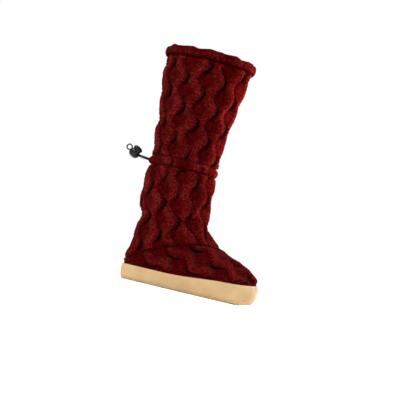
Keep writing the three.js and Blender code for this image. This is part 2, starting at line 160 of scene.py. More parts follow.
@dataclass(frozen=True)
class KnitForm:
    """Smooth form of the knit without its ribs, in millimetres, one row for each level.

    The columns are height, back, front, widest place, half width, back and front roundness.
    """

    levels: tuple[tuple[float, ...], ...] = (
        (-8, -60, 172, 106, 41.5, 2.6, 2.2),
        (2, -61, 175, 106, 42.8, 2.6, 2.2),
        (20, -63, 178.5, 106, 44, 2.6, 2.2),
        (36, -62.5, 177, 98, 42.5, 2.55, 2.15),
        (47, -61.5, 171.5, 82, 40.3, 2.5, 2.1),
        (56, -60.3, 161.5, 62, 38.8, 2.4, 2.1),
        (66, -58.8, 144, 42, 37.6, 2.3, 2.1),
        (81, -56.2, 113, 24, 36.8, 2.2, 2.1),
        (100, -53, 84, 12, 37, 2.15, 2.1),
        (122, -51.5, 66, 6, 38, 2.1, 2.1),
        (142, -57, 63, 3, 40, 2.1, 2.1),
        (176, -61.5, 62, 1, 42.5, 2.1, 2.1),
        (203, -57.5, 59.5, 0, 41, 2.1, 2.1),
        (220, -56, 57, 0, 40, 2.1, 2.1),
        (238, -59.5, 59, 0, 41.5, 2.1, 2.1),
        (300, -62.5, 62.5, 0, 44.5, 2.1, 2.1),
        (340, -68.5, 69.5, 0, 46.5, 2.1, 2.1),
        (386, -73.5, 77, 1, 49, 2.1, 2.1),
        (440, -76, 84.5, 2, 50.5, 2.1, 2.1),
    )
    toe_spring: float = 7.0
    toe_spring_start: float = 118.0
    toe_end: float = 181.0
    toe_swing: float = 7.0
    waist_hollow: float = 4.0
    waist_at: float = 24.0
    waist_long: float = 42.0
    foot_ends: tuple[float, float] = (40.0, 100.0)
    seam_heel: tuple[float, float] = (-64.0, 35.0)
    seam_instep: tuple[float, float] = (99.0, 90.0)
    seam_bow: float = 13.0
    wrap_heel_top: float = 26.0
    wrap_toe_top: float = 34.0

    def level(self, column: Column, z: Grid) -> Grid:
        """Smooth curve through one column of the levels, with no overshoot.

        Args:
            column: Column of the table.
            z: Heights.

        Returns:
            Values of the column at those heights.
        """
        table = np.array(self.levels, float)
        zs, v = table[:, 0], table[:, column]
        step = np.diff(zs)
        rise = np.diff(v) / step
        before, after = rise[:-1], rise[1:]
        total = np.where(before * after > 0, before + after, 1.0)
        middle = np.where(before * after > 0, 2 * before * after / total, 0.0)
        slope = np.concatenate(([rise[0]], middle, [rise[-1]]))
        z = np.asarray(z, float)
        i = np.clip(np.searchsorted(zs, z) - 1, 0, len(zs) - 2)
        t = np.clip((z - zs[i]) / step[i], 0.0, 1.0)
        ends = (2 * t**3 - 3 * t**2 + 1) * v[i] + (3 * t**2 - 2 * t**3) * v[i + 1]
        slopes = (t**3 - 2 * t**2 + t) * slope[i] + (t**3 - t**2) * slope[i + 1]
        return ends + step[i] * slopes

    def spring(self, x: Grid) -> Grid:
        """Lift of the toe off the floor."""
        part = np.maximum(0.0, (x - self.toe_spring_start) / (self.toe_end - self.toe_spring_start))
        return self.toe_spring * part**2

    def point(self, z: Grid, turn: Grid) -> Grid:
        """Points on the form.

        Args:
            z: Heights above the sole line.
            turn: Angles from the toe towards the inner side.

        Returns:
            Points, with x, y and z on the last axis.
        """
        c, s = np.cos(turn), np.sin(turn)
        widest = self.level(Column.WIDEST, z)
        front = c >= 0
        reach = np.where(front, self.level(Column.FRONT, z) - widest, widest - self.level(Column.BACK, z))
        power = 2.0 / np.where(front, self.level(Column.FRONT_ROUND, z), self.level(Column.BACK_ROUND, z))
        x = widest + reach * signed_power(c, power)
        foot = 1.0 - smooth(*self.foot_ends, z)
        waist = np.exp(-(((x - self.waist_at) / self.waist_long) ** 2)) * smooth(0.3, 0.9, s)
        hollow = self.waist_hollow * foot * waist
        swing = self.toe_swing * smooth(20, self.toe_end, x) * foot
        y = self.level(Column.HALF_WIDTH, z) * signed_power(s, power) + swing - hollow
        return np.stack([x, y, z + self.spring(x)], axis=-1)

    def offset(self, z: Grid, turn: Grid, out: Grid) -> Grid:
        """Points moved out of the form, square to its surface.

        Args:
            z: Heights above the sole line.
            turn: Angles from the toe towards the inner side.
            out: Distances from the form.

        Returns:
            Points, with x, y and z on the last axis.
        """
        z, turn, out = np.broadcast_arrays(np.asarray(z, float), turn, out)
        across = self.point(z, turn + 0.02) - self.point(z, turn - 0.02)
        up = self.point(z + 0.4, turn) - self.point(z - 0.4, turn)
        normal = np.cross(across, up)
        normal /= np.linalg.norm(normal, axis=-1, keepdims=True)
        return self.point(z, turn) + normal * out[..., None]

    def seam(self, x: Grid) -> Grid:
        """Height of the ankle seam along the foot."""
        (hx, hz), (ix, iz) = self.seam_heel, self.seam_instep
        t = (x - hx) / (ix - hx)
        return hz + (iz - hz) * t + self.seam_bow * (1 - (2 * t - 1) ** 2)

    def seam_level(self, turn: Grid) -> Grid:
        """Level at which each turn of the form meets the ankle seam.

        Args:
            turn: Angles from the toe towards the inner side.

        Returns:
            Heights above the sole line.
        """
        low, high = np.full_like(turn, 10.0), np.full_like(turn, 150.0)
        for _ in range(40):
            middle = (low + high) / 2
            p = self.point(middle, turn)
            above = p[..., 2] > self.seam(p[..., 0])
            low, high = np.where(above, low, middle), np.where(above, middle, high)
        return (low + high) / 2

    def wrap_top(self, x: Grid) -> Grid:
        """Height of the sole wrap's upper edge along the foot."""
        return self.wrap_heel_top + (self.wrap_toe_top - self.wrap_heel_top) * smooth(10, 140, x)


FORM = KnitForm()


@dataclass(frozen=True)
class CableRibs:
    """Raised ribs of the knit, which swing opposite ways to their neighbours. Millimetres."""

    wave: float
    swing: float
    half: float
    high: float
    groove: float = 0.35
    slit: float = 4.6
    slit_at: float = 1.18
    slit_wide: float = 0.32
    deepest: float = 1.3
    gentle: float = 1.45
    lag: float = 0.1
    stitch: float = 4.8
    ragged: float = 0.09
    repeat: int = 12

    def swerve(self, across: Grid, along: Grid) -> Grid:
        """Sideways swing of the knit, at places counted in ribs across and in length along."""
        return self.swing * np.sin(2 * np.pi * along / self.wave) * np.cos(np.pi * across)

    def uneven(self, own: Grid, along: Grid) -> Grid:
        """Slow unevenness along each rib, from -2 to 2."""
        return np.sin(2.4 * own + along / (0.31 * self.wave)) + np.sin(4.1 * own - along / (0.19 * self.wave))

    def ragged_edge(self, own: Grid, along: Grid) -> Grid:
        """Small steps of the stitches along each rib's edge, as a share of its half width."""
        phase = 2 * np.pi * along / self.stitch
        return self.ragged * (np.sin(phase + own) + np.sin(0.62 * phase - 2.3 * own))

    def height(self, across: Grid, along: Grid, spacing: Grid, face: int = 1) -> Grid:
        """Height of the ribs, which rise gently on one side and end in a slit on the other.

        Args:
            across: Place across the ribs, counted in ribs.
            along: Place along the ribs.
            spacing: Distance between ribs.
            face: Side with the slit, 1 or -1.

        Returns:
            The height at each place.
        """
        nearest = np.round(across)
        high, cut = np.full_like(across, -9.0), np.zeros_like(across)
        for step in (-1, 0, 1):
            i = nearest + step
            lobe = np.sin(2 * np.pi * (along / self.wave + self.lag)) * np.cos(np.pi * i) * face
            own = np.mod(i, self.repeat)
            uneven = self.uneven(own, along)
            d = (across - i) * spacing - self.swerve(i, along) * (1 + 0.1 * uneven)
            d = face * d / (self.half * (1 + 0.06 * uneven)) + self.ragged_edge(own, along)
            steep = np.maximum(0.0, 1 - np.maximum(d, 0.0) ** 2.4) ** 0.62
            slow = np.maximum(0.0, 1 - (np.maximum(-d, 0.0) / self.gentle) ** 1.8) ** 1.2
            high = np.maximum(high, self.high * (1 + 0.12 * uneven) * np.where(d > 0, steep, slow))
            deep = self.groove + self.slit * (1 + 0.3 * uneven) * smooth(-0.15, 0.7, lobe + 0.1 * uneven)
            cut = np.maximum(cut, deep * np.exp(-(((d - self.slit_at) / self.slit_wide) ** 2)))
        return np.maximum(high - cut, -self.deepest)


@dataclass(frozen=True)
class LegKnit:
    """Ribs up the leg, and where they flatten under the tunnel, the hem and the ankle seam."""

    ribs: CableRibs = CableRibs(wave=52, swing=6.4, half=9.0, high=4.3)
    count: int = 12
    evening: float = 0.1
    shift: float = 0.35
    above: float = -3.5
    below: float = 28.0
    tunnel_at: float = TUNNEL_AT
    tunnel_clear: float = 8.2
    top: float = 410.0

    def across(self, turn: Grid) -> Grid:
        """Place across the ribs, counted in ribs, so that they stand evenly round the leg."""
        return self.count / (2 * np.pi) * (turn - self.evening * np.sin(2 * turn)) + self.shift

    def along(self, z: Grid) -> Grid:
        """Place along the ribs, which start afresh above and below the tunnel."""
        return z - np.where(z > self.tunnel_at, self.above, self.below)

    def spacing(self, z: Grid) -> Grid:
        """Distance between ribs at each height."""
        long = FORM.level(Column.FRONT, z) - FORM.level(Column.BACK, z)
        wide = 2 * FORM.level(Column.HALF_WIDTH, z)
        return (long + wide) * (np.pi / 2 / self.count)

    def turn(self, wale: Grid, z: Grid) -> Grid:
        """Angle of each column of stitches, which swings with the ribs.

        Args:
            wale: Columns of stitches, counted in ribs.
            z: Heights.

        Returns:
            Angles round the leg.
        """
        calm = smooth(2, 16, np.abs(z - self.tunnel_at))
        across = wale + calm * self.ribs.swerve(wale, self.along(z)) / self.spacing(z)
        even = (across - self.shift) * (2 * np.pi / self.count)
        turn = even
        for _ in range(8):
            turn = even + self.evening * np.sin(2 * turn)
        return turn

    def relief(self, z: Grid, turn: Grid) -> Grid:
        """Height of the ribs.

        Args:
            z: Heights.
            turn: Angles round the leg.

        Returns:
            The height at each place.
        """
        p = FORM.point(z, turn)
        high = self.ribs.height(self.across(turn), self.along(z), self.spacing(z))
        tunnel = smooth(self.tunnel_clear, self.tunnel_clear + 3, np.abs(z - self.tunnel_at))
        high = np.maximum(high, 2.6 * smooth(self.top - 9, self.top - 2, z) - self.ribs.deepest)
        hem = 1 - 0.4 * smooth(self.top - 5, self.top, z)
        seam = 0.5 + 0.5 * smooth(0, 6, p[..., 2] - FORM.seam(p[..., 0]))
        return high * tunnel * hem * seam


@dataclass(frozen=True)
class FootKnit:
    """Ribs along the foot, from the ankle seam to the toe."""

    ribs: CableRibs = CableRibs(wave=44, swing=6.5, half=10.0, high=4.6, lag=-0.1)
    spacing: float = 40.0
    slope: float = 0.52

    def places(self, z: Grid, turn: Grid) -> tuple[Grid, Grid]:
        """Place across and along the foot's ribs.

        Args:
            z: Heights.
            turn: Angles round the foot.

        Returns:
            Place across, counted in ribs, and along, in millimetres.
        """
        p = FORM.point(z, turn)
        ridge = FORM.seam_instep[1] - self.slope * (p[..., 0] - FORM.seam_instep[0])
        side = np.where(p[..., 1] < 0, -1.0, 1.0)
        across = 1.12 * np.hypot(p[..., 1], ridge - p[..., 2]) * side / self.spacing
        return across, 0.887 * p[..., 0] - 0.46 * p[..., 2]

    def relief(self, z: Grid, turn: Grid) -> Grid:
        """Height of the ribs.

        Args:
            z: Heights.
            turn: Angles round the foot.

        Returns:
            The height at each place.
        """
        p = FORM.point(z, turn)
        across, along = self.places(z, turn)
        spacing = np.full_like(across, self.spacing)
        left, right = (self.ribs.height(across, along, spacing, face) for face in (-1, 1))
        high = left + (right - left) * smooth(-14, 14, p[..., 1])
        wrap = smooth(3, 10, z - FORM.wrap_top(p[..., 0]))
        seam = 0.5 + 0.5 * smooth(0, 6, FORM.seam(p[..., 0]) - p[..., 2])
        return high * wrap * seam


# Meshes.


def ring_quads(rows: int, columns: int, bands: int) -> tuple[Grid, Grid]:
    """Corners of the faces between rings of points.

    Args:
        rows: Number of rings.
        columns: Points in each ring.
        bands: Rows of faces; as many as rings where the last ring joins the first.

    Returns:
        Rows and columns of the faces' corners, four to a face on the last axis.
    """
    r, c = np.meshgrid(np.arange(bands), np.arange(columns), indexing="ij")
    up, side = (r + 1) % rows, c + 1
    return np.stack([r, r, up, up], axis=-1), np.stack([c, side, side, c], axis=-1)


def grid_object(
    name: str,
    points: Grid,
    close_rows: bool = True,
    uv: Grid | None = None,
    masks: dict[str, Grid] | None = None,
) -> bpy.types.Object:
    """Object from a table of points whose columns close.

    Args:
        name: Name of the piece.
        points: Rows by columns of points, in millimetres.
        close_rows: Whether the last row joins the first.
        uv: Rows by columns plus one of stitch places.
        masks: Named values on the points, rows by columns.

    Returns:
        The object, in metres.
    """
    rows, columns = points.shape[:2]
    row, column = ring_quads(rows, columns, rows if close_rows else rows - 1)
    faces = row * columns + column % columns
    mesh = bpy.data.meshes.new(name)
    mesh.from_pydata((points.reshape(-1, 3) * MM).tolist(), [], faces.reshape(-1, 4).tolist())
    if uv is not None:
        layer = mesh.uv_layers.new(name="stitches")
        layer.data.foreach_set("uv", uv[row, column].reshape(-1).astype(np.float32))
    for key, values in (masks or {}).items():
        mask = mesh.attributes.new(key, "FLOAT", "POINT")
        mask.data.foreach_set("value", values.reshape(-1).astype(np.float32))
    return link_smooth(name, mesh)


def link_smooth(name: str, mesh: bpy.types.Mesh) -> bpy.types.Object:
    """Link a mesh into the scene with smooth faces that point out.

    Args:
        name: Name of the piece.
        mesh: Its mesh.

    Returns:
        The object.
    """
    mesh.validate()
    mesh.update()
    obj = bpy.data.objects.new(name, mesh)
    bpy.context.scene.collection.objects.link(obj)
    mesh.shade_smooth()
    with bpy.context.temp_override(active_object=obj, object=obj, selected_objects=[obj]):
        bpy.context.view_layer.objects.active = obj
        bpy.ops.object.mode_set(mode="EDIT")
        bpy.ops.mesh.select_all(action="SELECT")
        bpy.ops.mesh.normals_make_consistent(inside=False)
        bpy.ops.object.mode_set(mode="OBJECT")
    return obj


def plate_object(name: str, rings: Grid) -> bpy.types.Object:
    """Plate from rings of points, closed at both ends by cross strips.

    Args:
        name: Name of the piece.
        rings: Rings by columns of points, in millimetres, an even number of columns.

    Returns:
        The object, in metres.
    """
    count, columns = rings.shape[:2]
    row, column = ring_quads(count, columns, count - 1)
    faces = (row * columns + column % columns).reshape(-1, 4).tolist()
    for r in (0, count - 1):
        for k in range(columns // 2):
            strip = [k, k + 1, columns - k - 1, (columns - k) % columns]
            ring = list(dict.fromkeys(r * columns + i for i in strip))
            faces.append(tuple(ring))
    mesh = bpy.data.meshes.new(name)
    mesh.from_pydata((rings.reshape(-1, 3) * MM).tolist(), [], faces)
    return link_smooth(name, mesh)


def cut_by_block(obj: bpy.types.Object, size: Triple, at: Matrix) -> None:
    """Cut a block out of an object.

    Args:
        obj: Object to cut.
        size: The block's sides, in millimetres.
        at: Place of the block's middle, in metres.
    """
    corners = list(product(*((-side * MM / 2, side * MM / 2) for side in size)))
    sides = [(0, 1, 3, 2), (4, 6, 7, 5), (0, 4, 5, 1), (2, 3, 7, 6), (0, 2, 6, 4), (1, 5, 7, 3)]
    mesh = bpy.data.meshes.new("cutter")
    mesh.from_pydata([at @ Vector(p) for p in corners], [], sides)
    cutter = bpy.data.objects.new("cutter", mesh)
    bpy.context.scene.collection.objects.link(cutter)
    boolean = obj.modifiers.new("notch", "BOOLEAN")
    boolean.operation, boolean.object, boolean.solver = "DIFFERENCE", cutter, "EXACT"
    bevel = obj.modifiers.new("edge", "BEVEL")
    bevel.width, bevel.segments = 0.25 * MM, 2
    bevel.limit_method, bevel.angle_limit = "ANGLE", math.radians(50)
    made = bpy.data.meshes.new_from_object(obj.evaluated_get(bpy.context.evaluated_depsgraph_get()))
    obj.modifiers.clear()
    obj.data = made
    made.shade_smooth()
    made.set_sharp_from_angle(angle=math.radians(40))
    bpy.data.objects.remove(cutter)


# Finishes.


@dataclass
class NodeDesk:
    """Short way to place and join shader nodes in one tree."""

    tree: bpy.types.NodeTree
    place: int = 0

    def add(self, kind: str, inputs: dict | None = None, **settings: object) -> bpy.types.Node:
        """Place a node.

        Args:
            kind: Node type, without its ShaderNode prefix.
            inputs: Socket name or number to a value or an output socket.
            **settings: Properties of the node.

        Returns:
            The node.
        """
        node = self.tree.nodes.new(kind if kind.startswith("Node") else "ShaderNode" + kind)
        node.location = (180 * (self.place % 12), -220 * (self.place // 12))
        self.place += 1
        for key, value in settings.items():
            setattr(node, key, value)
        self.fill(node, inputs or {})
        return node

    def fill(self, node: bpy.types.Node, inputs: dict) -> None:
        """Set a node's inputs by socket name or number, to plain values or by links."""
        for key, value in inputs.items():
            if isinstance(value, bpy.types.NodeSocket):
                self.tree.links.new(value, node.inputs[key])
            else:
                node.inputs[key].default_value = value

    def math(self, operation: str, a: object, b: object = 0.5, c: object = 0.5) -> bpy.types.NodeSocket:
        """Output of a math node on up to three values or sockets."""
        return self.add("Math", {0: a, 1: b, 2: c}, operation=operation).outputs[0]

    def mix(self, factor: object, a: object, b: object) -> bpy.types.NodeSocket:
        """Output of a mix of two colours, by the share of the second."""
        share, first, second, made = 0, 6, 7, 2
        return self.add("Mix", {share: factor, first: a, second: b}, data_type="RGBA").outputs[made]


def rgb(red: int, green: int, blue: int) -> tuple[float, float, float, float]:
    """Linear colour from display values of 0 to 255."""
    linear = [((c / 255 + 0.055) / 1.055) ** 2.4 if c > 10 else c / 255 / 12.92 for c in (red, green, blue)]
    return (*linear, 1.0)


def new_group(name: str, inputs: dict[str, str], outputs: dict[str, str]) -> tuple[NodeDesk, object, object]:
    """Empty shader node group.

    Args:
        name: Name of the group.
        inputs: Socket name to type.
        outputs: Socket name to type.

    Returns:
        Its desk, its input node and its output node.
    """
    tree = bpy.data.node_groups.new(name, "ShaderNodeTree")
    for key, kind in inputs.items():
        tree.interface.new_socket(key, in_out="INPUT", socket_type=kind)
    for key, kind in outputs.items():
        tree.interface.new_socket(key, in_out="OUTPUT", socket_type=kind)
    desk = NodeDesk(tree)
    return desk, desk.add("NodeGroupInput"), desk.add("NodeGroupOutput")


def stitch_group() -> bpy.types.NodeTree:
    """Plain knit stitches: pairs of leaning yarn legs in columns and rows.

    Returns:
        A group from a place in stitches to the yarn's height.
    """
    desk, source, sink = new_group(
        "knit_stitches",
        {"Stitch": "NodeSocketVector", "Lean": "NodeSocketFloat"},
        {"Height": "NodeSocketFloat"},
    )
    place = desk.add("SeparateXYZ", {0: source.outputs["Stitch"]})
    column = desk.math("FRACT", place.outputs[0])
    from_middle = desk.math("MULTIPLY", desk.math("ABSOLUTE", desk.math("SUBTRACT", column, 0.5)), 2.0)
    lane = desk.math("MULTIPLY_ADD", from_middle, 2.0, -1.0)
    leg = desk.math("SUBTRACT", 1.0, desk.math("MULTIPLY", lane, lane))
    lean = desk.math("MULTIPLY", from_middle, source.outputs["Lean"])
    row = desk.math("FRACT", desk.math("SUBTRACT", place.outputs[1], lean))
    row = desk.math("MULTIPLY_ADD", row, 2.0, -1.0)
    loop = desk.math("SUBTRACT", 1.0, desk.math("MULTIPLY", row, row))
    height = desk.math("MULTIPLY", desk.math("POWER", leg, 0.7), desk.math("POWER", loop, 0.5))
    desk.fill(sink, {"Height": height})
    return desk.tree


def nap_group() -> bpy.types.NodeTree:
    """Fine fibres and slow drift of tone, for yarn, suede and fleece.

    Returns:
        A group from a place in metres to a fibre height and a drift mask.
    """
    desk, source, sink = new_group(
        "nap",
        {"Place": "NodeSocketVector", "Fibre": "NodeSocketFloat", "Drift": "NodeSocketFloat"},
        {"Height": "NodeSocketFloat", "Tone": "NodeSocketFloat"},
    )
    for scale, detail, rough, out in (("Fibre", 4.0, 0.7, "Height"), ("Drift", 3.0, 0.6, "Tone")):
        noise = desk.add("TexNoise", {"Detail": detail, "Roughness": rough})
        desk.fill(noise, {"Vector": source.outputs["Place"], "Scale": source.outputs[scale]})
        desk.fill(sink, {out: noise.outputs["Fac"]})
    return desk.tree


GROUPS = {"stitches": stitch_group(), "nap": nap_group()}


def new_material(name: str) -> tuple[bpy.types.Material, NodeDesk, bpy.types.Node]:
    """Material with a Principled shader.

    Args:
        name: Name of the material.

    Returns:
        The material, its desk and its shader node.
    """
    material = bpy.data.materials.new(name)
    material.use_nodes = True
    material.node_tree.nodes.clear()
    desk = NodeDesk(material.node_tree)
    shader = desk.add("BsdfPrincipled")
    desk.add("OutputMaterial", {"Surface": shader.outputs[0]})
    return material, desk, shader


def nap_node(desk: NodeDesk, fibre: float, drift: float) -> bpy.types.Node:
    """Nap group placed in a material, with its fibres and its drifts of tone per metre."""
    place = desk.add("TexCoord").outputs["Object"]
    return desk.add("Group", {"Place": place, "Fibre": fibre, "Drift": drift}, node_tree=GROUPS["nap"])


@dataclass(frozen=True)
class KnitFinish:
    """Dark red yarn in knit stitches, with a soft fuzz. The shares weigh what lightens the yarn: painted
    shade and highlight from the rib mask, painted shade in the gaps between stitches, and random flecks and
    drift.
    """

    name: str = "cable_knit_red"
    # The bottom stop of the ramp is the painted shade of the slits, and the top, pinkish stop the painted
    # highlight of the crests, each also the yarn's deepest and palest fleck.
    darkest_and_slit_shade: tuple = rgb(12, 0, 0)
    dark: tuple = rgb(64, 3, 4)
    light: tuple = rgb(101, 13, 13)
    lightest_and_crest_highlight: tuple = rgb(146, 44, 42)
    dark_at: float = 0.42
    light_at: float = 0.8
    lean: float = 0.55
    # The rib mask's weight paints shade into the slits and a highlight onto the crests; the stitches' weight
    # paints shade into the gaps between stitch legs.
    painted_shading_share: float = 0.3
    stitch_gap_shade_share: float = 0.65
    fuzz_share: float = 1.15
    fibre_share: float = 0.9
    drift_share: float = 0.3
    darker: float = 1.13
    fuzz_lift: float = 1.1
    fibre_lift: float = 0.7
    depth: float = 0.0016
    fuzz: tuple[float, float] = (900.0, 260.0)
    slow: tuple[float, float] = (120.0, 24.0)

    def make(self) -> bpy.types.Material:
        """Build the material."""
        material, desk, shader = new_material(self.name)
        place = desk.add("UVMap", uv_map="stitches").outputs[0]
        knit = desk.add("Group", {"Stitch": place, "Lean": self.lean}, node_tree=GROUPS["stitches"])
        stitch = knit.outputs["Height"]
        fuzz = nap_node(desk, *self.fuzz)
        slow = nap_node(desk, *self.slow)
        # Rib mask: painted shade in the slits, painted highlight on the crests.
        rib = desk.add("Attribute", attribute_name="rib").outputs["Fac"]
        tone = desk.math("MULTIPLY_ADD", rib, self.painted_shading_share, -self.darker)
        for socket, share in (
            (stitch, self.stitch_gap_shade_share),
            (fuzz.outputs["Tone"], self.fuzz_share),
            (fuzz.outputs["Height"], self.fibre_share),
            (slow.outputs["Tone"], self.drift_share),
        ):
            tone = desk.math("MULTIPLY_ADD", socket, share, tone)
        ramp = desk.add("ValToRGB", {"Fac": tone})
        stops = ramp.color_ramp.elements
        stops.new(self.dark_at).color = self.dark
        stops.new(self.light_at).color = self.light
        stops[0].color, stops[-1].color = self.darkest_and_slit_shade, self.lightest_and_crest_highlight
        height = desk.math("MULTIPLY_ADD", fuzz.outputs["Tone"], self.fuzz_lift, stitch)
        height = desk.math("MULTIPLY_ADD", fuzz.outputs["Height"], self.fibre_lift, height)
        bump = desk.add("Bump", {"Strength": 1.0, "Distance": self.depth, "Height": height})
        desk.fill(shader, {"Base Color": ramp.outputs[0], "Normal": bump.outputs[0], "Roughness": 0.95})
        desk.fill(shader, {"Specular IOR Level": 0.0, "Sheen Weight": 0.08, "Sheen Roughness": 0.08})
        desk.fill(shader, {"Sheen Tint": rgb(255, 170, 165)})
        return material


@dataclass(frozen=True)
class NapFinish:
    """Suede or fleece: short matt fibres over a slow drift of tone."""

    name: str
    base: tuple
    shade: tuple
    fibre: float = 1500.0
    drift: float = 38.0
    depth: float = 0.0005
    sheen: float = 0.25
    drift_share: float = 0.96
    speck_share: float = 0.45
    paler: float = 0.34

    def make(self) -> bpy.types.Material:
        """Build the material."""
        material, desk, shader = new_material(self.name)
        nap = nap_node(desk, self.fibre, self.drift)
        tone = desk.math("MULTIPLY_ADD", nap.outputs["Tone"], self.drift_share, -self.paler)
        tone = desk.math("MULTIPLY_ADD", nap.outputs["Height"], self.speck_share, tone)
        shade = desk.add("Clamp", {"Value": tone}).outputs[0]
        colour = desk.mix(shade, self.base, self.shade)
        bump = desk.add("Bump", {"Strength": 0.6, "Distance": self.depth, "Height": nap.outputs["Height"]})
        desk.fill(shader, {"Base Color": colour, "Normal": bump.outputs[0], "Roughness": 0.9})
        desk.fill(shader, {"Specular IOR Level": 0.2, "Sheen Weight": self.sheen, "Sheen Roughness": 0.5})
        return material


@dataclass(frozen=True)
class CordFinish:
    """Round braided cord of black yarn, with painted shade in the dips between its strands."""

    name: str = "braided_cord_black"
    dark: tuple = rgb(4, 4, 5)
    light: tuple = rgb(24, 23, 24)
    fibre: float = 2600.0
    drift: float = 300.0
    depth: float = 0.0002
    fibre_share: float = 0.5
    strand_shade_share: float = 0.2

    def make(self) -> bpy.types.Material:
        """Build the material."""
        material, desk, shader = new_material(self.name)
        nap = nap_node(desk, self.fibre, self.drift)
        # Strand mask: painted shade in the dips between the braid's strands, lighter on their crests.
        strand = desk.add("Attribute", attribute_name="strand").outputs["Fac"]
        light = desk.math("MULTIPLY", strand, self.strand_shade_share)
        light = desk.math("MULTIPLY_ADD", nap.outputs["Height"], self.fibre_share, light)
        colour = desk.mix(desk.math("MINIMUM", light, 1.0), self.dark, self.light)
        bump = desk.add("Bump", {"Strength": 0.5, "Distance": self.depth, "Height": nap.outputs["Height"]})
        desk.fill(shader, {"Base Color": colour, "Normal": bump.outputs[0]})
        desk.fill(shader, {"Roughness": 0.8, "Specular IOR Level": 0.1})
        return material


@dataclass(frozen=True)
class LockFinish:
    """Moulded black plastic with a half gloss and a light moulding grain."""

    name: str = "moulded_black"
    base: tuple = rgb(3, 3, 4)
    worn: tuple = rgb(10, 10, 11)
    fibre: float = 1400.0
    drift: float = 180.0
    depth: float = 0.0002
    rough: float = 0.36
    wear: float = 0.1

    def make(self) -> bpy.types.Material:
        """Build the material."""
        material, desk, shader = new_material(self.name)
        nap = nap_node(desk, self.fibre, self.drift)
        colour = desk.mix(nap.outputs["Tone"], self.base, self.worn)
        rough = desk.math("MULTIPLY_ADD", nap.outputs["Tone"], self.wear, self.rough)
        bump = desk.add("Bump", {"Strength": 0.12, "Distance": self.depth, "Height": nap.outputs["Height"]})
        desk.fill(shader, {"Base Color": colour, "Normal": bump.outputs[0]})
        desk.fill(shader, {"Roughness": rough, "Specular IOR Level": 0.34})
        return material


KNIT = KnitFinish().make()
TAN = NapFinish("tan_suede", rgb(197, 168, 126), rgb(158, 125, 82), drift=26.0, sheen=0.08).make()
OUTSOLE = NapFinish("outsole_suede", rgb(176, 146, 112), rgb(120, 96, 72)).make()
FLEECE = NapFinish("footbed_fleece", rgb(92, 24, 24), rgb(52, 10, 11), 420.0, 60.0, 0.0016).make()
CORD = CordFinish().make()
LOCK = LockFinish().make()


def settle(
    obj: bpy.types.Object, finish: bpy.types.Material, node: str, body: Body = Body.BOOT
) -> None:
    """Dress a piece and tie it to the part.

    Args:
        obj: The piece.
        finish: Its material.
        node: The node it stands for.
        body: The body it moves with.
    """
    obj.data.materials.clear()
    obj.data.materials.append(finish)
    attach(obj, body.value)
    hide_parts(node)
    LOG.info("%s: %d faces", obj.name, len(obj.data.polygons))


# Camera, light and floor.


